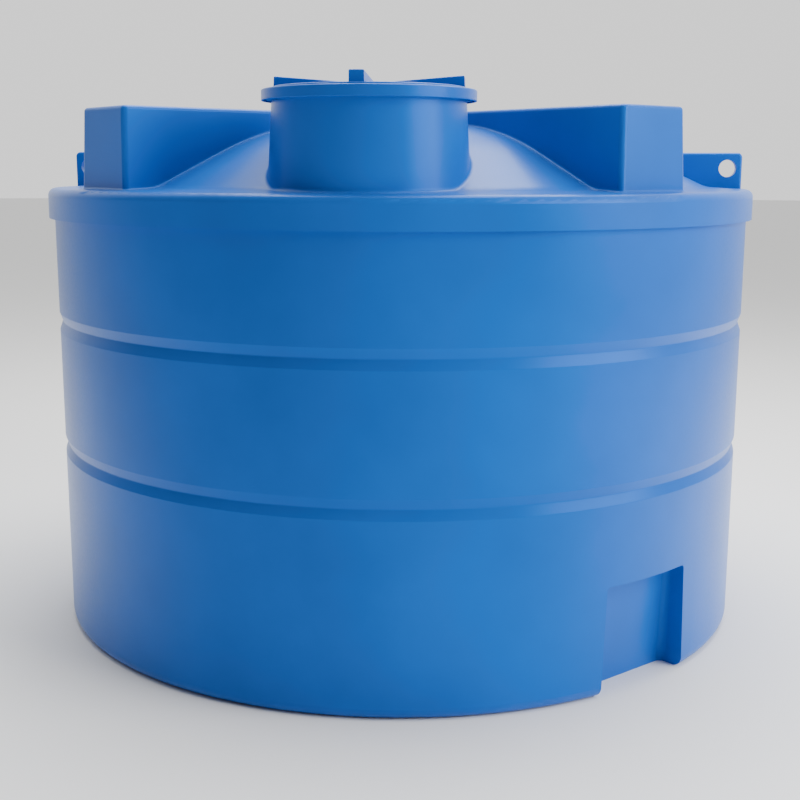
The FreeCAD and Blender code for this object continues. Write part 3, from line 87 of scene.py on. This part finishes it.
def new_material(name):
    """An empty node material, its Principled shader, and its object coordinates."""
    material = bpy.data.materials.new(name)
    material.use_nodes = True
    tree = material.node_tree
    tree.nodes.clear()
    shader = add_node(tree, "ShaderNodeBsdfPrincipled")
    add_node(tree, "ShaderNodeOutputMaterial", links={"Surface": (shader, "BSDF")})
    place = add_node(tree, "ShaderNodeTexCoord")
    return material, tree, shader, place


def noise(tree, place, size_mm, detail):
    """A noise pattern of this size, fixed to the object."""
    return add_node(tree, "ShaderNodeTexNoise",
                    inputs={"Scale": 1 / (size_mm * MM), "Detail": detail},
                    links={"Vector": (place, "Object")})


def remap(tree, pattern, start=0.0, end=1.0, low=0.0, high=1.0):
    """Stretches a pattern's values between start and end over low to high."""
    return add_node(tree, "ShaderNodeMapRange",
                    inputs={"From Min": start, "From Max": end, "To Min": low, "To Max": high},
                    links={"Value": (pattern, "Fac")})


def colour_between(tree, shader, blend, deep, colour):
    """Clouds the base colour between two hex colours."""
    tint = add_node(tree, "ShaderNodeMix", {"data_type": "RGBA"},
                    links={"Factor": (blend, "Result")})
    tint.inputs["A"].default_value = linear(deep)
    tint.inputs["B"].default_value = linear(colour)
    tree.links.new(tint.outputs["Result"], shader.inputs["Base Color"])


def bump(tree, pattern, strength, depth_mm, below=None):
    """Raises a pattern on the surface, over another bump if one is given."""
    links = {"Height": (pattern, "Fac")}
    if below:
        links["Normal"] = (below, "Normal")
    return add_node(tree, "ShaderNodeBump",
                    inputs={"Strength": strength, "Distance": depth_mm * MM}, links=links)


def give(material, *names):
    """Puts a material in every slot of the named CAD nodes."""
    for name in names:
        slots = NODES[name].data.materials
        slots.clear()
        slots.append(material)


# ---------------------------------------------------------------- materials
def moulded_polyethylene(name, colour, deep, sheen, roughness,
                         cloud_mm=420, wave_mm=260, peel_mm=9):
    """Moulded polyethylene: waxy and satin, with orange peel, slow waviness and a tinted sheen."""
    material, tree, shader, place = new_material(name)
    cloud = noise(tree, place, cloud_mm, detail=3.0)
    peel = noise(tree, place, peel_mm, detail=2.0)
    wave = noise(tree, place, wave_mm, detail=1.0)
    colour_between(tree, shader, remap(tree, cloud, start=0.3, end=0.7), deep, colour)
    gloss = remap(tree, peel, start=0.3, end=0.7, low=roughness - 0.02, high=roughness + 0.03)
    tree.links.new(gloss.outputs["Result"], shader.inputs["Roughness"])
    waves = bump(tree, wave, strength=0.25, depth_mm=3)
    surface = bump(tree, peel, strength=0.10, depth_mm=0.12, below=waves)
    tree.links.new(surface.outputs["Normal"], shader.inputs["Normal"])
    shader.inputs["IOR"].default_value = 1.51
    shader.inputs["Specular Tint"].default_value = linear(sheen)
    return material


def plain_polymer(name, colour, roughness, ior, grain_mm, depth_mm):
    """A moulded polymer or rubber with a fine even grain."""
    material, tree, shader, place = new_material(name)
    grain = noise(tree, place, grain_mm, detail=4.0)
    value = remap(tree, grain, low=0.8, high=1.25)
    shade = add_node(tree, "ShaderNodeHueSaturation", inputs={"Color": linear(colour)},
                     links={"Value": (value, "Result")})
    tree.links.new(shade.outputs["Color"], shader.inputs["Base Color"])
    surface = bump(tree, grain, strength=0.4, depth_mm=depth_mm)
    tree.links.new(surface.outputs["Normal"], shader.inputs["Normal"])
    shader.inputs["Roughness"].default_value = roughness
    shader.inputs["IOR"].default_value = ior
    return material


def worked_metal(name, colour, dull, roughness, grain_mm, stain_mm=22):
    """Cast or machined metal: cloudy tarnish over an uneven satin surface."""
    material, tree, shader, place = new_material(name)
    grain = noise(tree, place, grain_mm, detail=4.0)
    stain = noise(tree, place, stain_mm, detail=3.0)
    colour_between(tree, shader, remap(tree, stain, start=0.35, end=0.65), dull, colour)
    gloss = remap(tree, grain, low=roughness * 0.7, high=roughness * 1.4)
    tree.links.new(gloss.outputs["Result"], shader.inputs["Roughness"])
    surface = bump(tree, grain, strength=0.3, depth_mm=0.15)
    tree.links.new(surface.outputs["Normal"], shader.inputs["Normal"])
    shader.inputs["Metallic"].default_value = 1.0
    return material


# ---------------------------------------------------------------- settings
class TankFinish(bpy.types.PropertyGroup):
    """Colours and gloss of the moulded parts"""
    shell_colour: StringProperty(
        name="Shell", description="Colour of the moulded tank", default="#1260bd")
    shell_deep: StringProperty(
        name="Shell, deep", description="Darker clouding in the shell", default="#1058ae")
    lid_colour: StringProperty(name="Lid", description="Colour of the screw lid", default="#125ab4")
    lid_deep: StringProperty(
        name="Lid, deep", description="Darker clouding in the lid", default="#0f53a6")
    sheen: StringProperty(
        name="Sheen", description="Tint of the surface reflection", default="#4f95ff")
    shell_roughness: FloatProperty(
        name="Shell roughness", description="How satin the moulded surface is", default=0.30,
        min=0, max=1)


class TankStage(bpy.types.PropertyGroup):
    """Camera, floor, room and lights"""
    camera_place: FloatVectorProperty(
        name="Camera", description="Where the camera stands", size=3,
        default=(0.4478, -4.3932, 1.521), subtype="TRANSLATION", unit="LENGTH")
    camera_heading: FloatProperty(
        name="Heading", description="Turn of the camera to the left of +Y",
        default=math.radians(5.82), subtype="ANGLE")
    camera_tilt: FloatProperty(
        name="Tilt", description="How far the camera looks down", default=math.radians(10.59),
        subtype="ANGLE")
    camera_roll: FloatProperty(
        name="Roll", description="Roll of the camera about its view", default=math.radians(0.153),
        subtype="ANGLE")
    lens_mm: FloatProperty(
        name="Lens", description="Focal length, in millimetres", default=55.94, min=1)
    floor_radius: FloatProperty(
        name="Floor", description="Radius of the floor", default=60.0, unit="LENGTH")
    floor_colour: StringProperty(
        name="Floor colour", description="Colour of the floor", default="#f4f4f3")
    room_bright: FloatProperty(
        name="Bright side", default=1.35, min=0.0,
        description="Brightness of the room beyond and above the tank")
    room_dark: FloatProperty(
        name="Dark side", default=0.15, min=0.0,
        description="Brightness of the room behind the camera")
    room_facing: FloatVectorProperty(
        name="Bright towards", size=3, default=(0.0, 0.78, 0.62),
        description="Direction of the room's brightest part")
    room_spread: FloatProperty(
        name="Bright from", default=0.72,
        description="How nearly a direction faces the bright part to be fully bright")
    backdrop: FloatProperty(
        name="Backdrop", default=1.2, min=0.0,
        description="Brightness of the even backdrop that the camera sees")
    sky_place: FloatVectorProperty(
        name="Sky light", description="Where the overhead light hangs", size=3,
        default=(0.4, 1.2, 6.4), subtype="TRANSLATION", unit="LENGTH")
    sky_size: FloatProperty(
        name="Sky light size", description="Side of the overhead light", default=5.5,
        unit="LENGTH")
    sky_watts: FloatProperty(
        name="Sky light power", description="Power of the overhead light", default=640)
    right_place: FloatVectorProperty(
        name="Right light", description="Where the side light stands", size=3,
        default=(6.0, -2.6, 3.6), subtype="TRANSLATION", unit="LENGTH")
    right_size: FloatProperty(
        name="Right light size", description="Side of the side light", default=4.5, unit="LENGTH")
    right_watts: FloatProperty(
        name="Right light power", description="Power of the side light", default=520)


# ---------------------------------------------------------------- operators
class TANK_OT_shell(bpy.types.Operator):
    """Finish the moulded shell and its lifting eyes"""
    bl_idname = "tank.finish_shell"
    bl_label = "Finish Shell"

    def execute(self, context):
        s = context.scene.tank_finish
        # polyethylene, rotationally moulded in blue: satin, slightly wavy
        give(moulded_polyethylene("rotomoulded_polyethylene", s.shell_colour, s.shell_deep, s.sheen,
                                  s.shell_roughness), *SHELL_NODES)
        return {"FINISHED"}


class TANK_OT_lid(bpy.types.Operator):
    """Finish the screw lid"""
    bl_idname = "tank.finish_lid"
    bl_label = "Finish Lid"

    def execute(self, context):
        s = context.scene.tank_finish
        # polyethylene, injection moulded in the tank's blue
        give(moulded_polyethylene("moulded_polyethylene_lid", s.lid_colour, s.lid_deep, s.sheen,
                                  s.shell_roughness), "lid")
        return {"FINISHED"}


class TANK_OT_fittings(bpy.types.Operator):
    """Finish the seals, pipe fittings, valves and float"""
    bl_idname = "tank.finish_fittings"
    bl_label = "Finish Fittings"

    def execute(self, context):
        # EPDM rubber, moulded: dull black with a faint bloom
        give(plain_polymer("epdm_rubber", "#1a1a1b", roughness=0.75, ior=1.5, grain_mm=1.2,
                           depth_mm=0.1), *SEAL_NODES)
        # glass-filled polypropylene, injection moulded: black, slightly shiny
        give(plain_polymer("black_polypropylene", "#17181a", roughness=0.42, ior=1.49, grain_mm=0.9,
                           depth_mm=0.08), *BLACK_NODES)
        # PTFE, machined: waxy white
        give(plain_polymer("ptfe", "#e9e8e3", roughness=0.4, ior=1.35, grain_mm=2.0, depth_mm=0.04),
             "valve_seats")
        # PVC, dipped: soft red with a smooth skin
        give(plain_polymer("dipped_pvc", "#b3201c", roughness=0.35, ior=1.53, grain_mm=3.0,
                           depth_mm=0.08), "lever_grip")
        # polypropylene float, blow moulded: orange
        give(plain_polymer("blow_moulded_polypropylene", "#d9681e", roughness=0.45, ior=1.49,
                           grain_mm=2.5, depth_mm=0.1), "float")
        # brass, hot stamped then machined: yellow with brown tarnish
        give(worked_metal("hot_stamped_brass", "#d9b25f", "#b88d45", roughness=0.32, grain_mm=0.8),
             *BRASS_NODES)
        # stainless steel, turned: clean and grey
        give(worked_metal("turned_stainless_steel", "#c9c8c5", "#b5b4b1", roughness=0.25,
                          grain_mm=0.5), *STAINLESS_NODES)
        # mild steel, zinc plated: pale with cloudy passivation
        give(worked_metal("zinc_plated_steel", "#c3c6c8", "#a9adaf", roughness=0.3, grain_mm=0.7),
             "valve_lever")
        # brass, chromium plated and polished
        give(worked_metal("chromium_plate", "#dcdddf", "#d2d3d5", roughness=0.07, grain_mm=2.0),
             "valve_ball")
        return {"FINISHED"}


def studio_world(bright, dark, facing, spread, backdrop):
    """A white room, brighter on one side, lights the object; the camera sees an even backdrop."""
    world = bpy.data.worlds.new("studio")
    world.use_nodes = True
    tree = world.node_tree
    tree.nodes.clear()
    direction = add_node(tree, "ShaderNodeTexCoord")
    lit = add_node(tree, "ShaderNodeVectorMath", {"operation": "DOT_PRODUCT"},
                   links={"Vector": (direction, "Generated")})
    lit.inputs[1].default_value = facing
    level = add_node(tree, "ShaderNodeMapRange", {"interpolation_type": "SMOOTHSTEP"},
                     {"From Min": 0.0, "From Max": spread, "To Min": dark, "To Max": bright},
                     {"Value": (lit, "Value")})
    glow = add_node(tree, "ShaderNodeBackground", inputs={"Color": linear(WHITE)},
                    links={"Strength": (level, "Result")})
    seen = add_node(tree, "ShaderNodeBackground",
                    inputs={"Color": linear(WHITE), "Strength": backdrop})
    rays = add_node(tree, "ShaderNodeLightPath")
    surroundings = add_node(tree, "ShaderNodeMixShader", links={"Fac": (rays, "Is Camera Ray")})
    tree.links.new(glow.outputs["Background"], surroundings.inputs[1])
    tree.links.new(seen.outputs["Background"], surroundings.inputs[2])
    add_node(tree, "ShaderNodeOutputWorld", links={"Surface": (surroundings, "Shader")})
    return world


def area_light(name, place, target, size, watts):
    """A square soft white light aimed at a point."""
    data = bpy.data.lights.new(name, "AREA")
    data.shape = "SQUARE"
    data.size = size
    data.energy = watts
    light = bpy.data.objects.new(name, data)
    bpy.context.scene.collection.objects.link(light)
    light.location = place
    light.rotation_euler = (Vector(target) - Vector(place)).to_track_quat("-Z", "Y").to_euler()


class TANK_OT_stage(bpy.types.Operator):
    """Set the floor, the soft lights and the camera"""
    bl_idname = "tank.set_stage"
    bl_label = "Set Stage"

    def execute(self, context):
        s = context.scene.tank_stage
        shape = bmesh.new()
        bmesh.ops.create_circle(shape, cap_ends=True, segments=96, radius=s.floor_radius)
        mesh = bpy.data.meshes.new("floor")
        shape.to_mesh(mesh)
        shape.free()
        floor = bpy.data.objects.new("floor", mesh)
        context.scene.collection.objects.link(floor)
        # painted floor: matt and nearly white
        material, _, shader, _ = new_material("matt_painted_floor")
        shader.inputs["Base Color"].default_value = linear(s.floor_colour)
        shader.inputs["Roughness"].default_value = 0.7
        mesh.materials.append(material)

        context.scene.world = studio_world(s.room_bright, s.room_dark, s.room_facing, s.room_spread,
                                           s.backdrop)

        middle = (CAD_BOX[0] + CAD_BOX[1]) / 2
        area_light("sky_light", s.sky_place, middle, s.sky_size, s.sky_watts)
        area_light("right_light", s.right_place, middle, s.right_size, s.right_watts)

        data = bpy.data.cameras.new("camera")
        data.sensor_width = SENSOR_WIDTH_MM
        data.lens = s.lens_mm
        camera = bpy.data.objects.new("camera", data)
        context.scene.collection.objects.link(camera)
        heading = Matrix.Rotation(s.camera_heading, 4, "Z")
        tilt = Matrix.Rotation(math.pi / 2 - s.camera_tilt, 4, "X")
        turn = heading @ tilt
        roll = Matrix.Rotation(s.camera_roll, 4, "Z")
        camera.matrix_world = Matrix.Translation(s.camera_place) @ turn @ roll
        context.scene.camera = camera
        return {"FINISHED"}


class TANK_PT_panel(bpy.types.Panel):
    """Lists the tank's steps in the sidebar"""
    bl_idname = "TANK_PT_panel"
    bl_label = "Water Tank"
    bl_space_type = "VIEW_3D"
    bl_region_type = "UI"
    bl_category = "Water Tank"

    def draw(self, context):
        for step in STEPS:
            self.layout.operator(step.bl_idname)


STEPS = (TANK_OT_shell, TANK_OT_lid, TANK_OT_fittings, TANK_OT_stage)
CLASSES = (TankFinish, TankStage, *STEPS, TANK_PT_panel)


def register():
    for cls in CLASSES:
        bpy.utils.register_class(cls)
    bpy.types.Scene.tank_finish = PointerProperty(type=TankFinish)
    bpy.types.Scene.tank_stage = PointerProperty(type=TankStage)


def unregister():
    del bpy.types.Scene.tank_stage
    del bpy.types.Scene.tank_finish
    for cls in reversed(CLASSES):
        bpy.utils.unregister_class(cls)


def main():
    register()
    bpy.ops.tank.finish_shell()
    bpy.ops.tank.finish_lid()
    bpy.ops.tank.finish_fittings()
    bpy.ops.tank.set_stage()


if __name__ == "__main__":
    main()
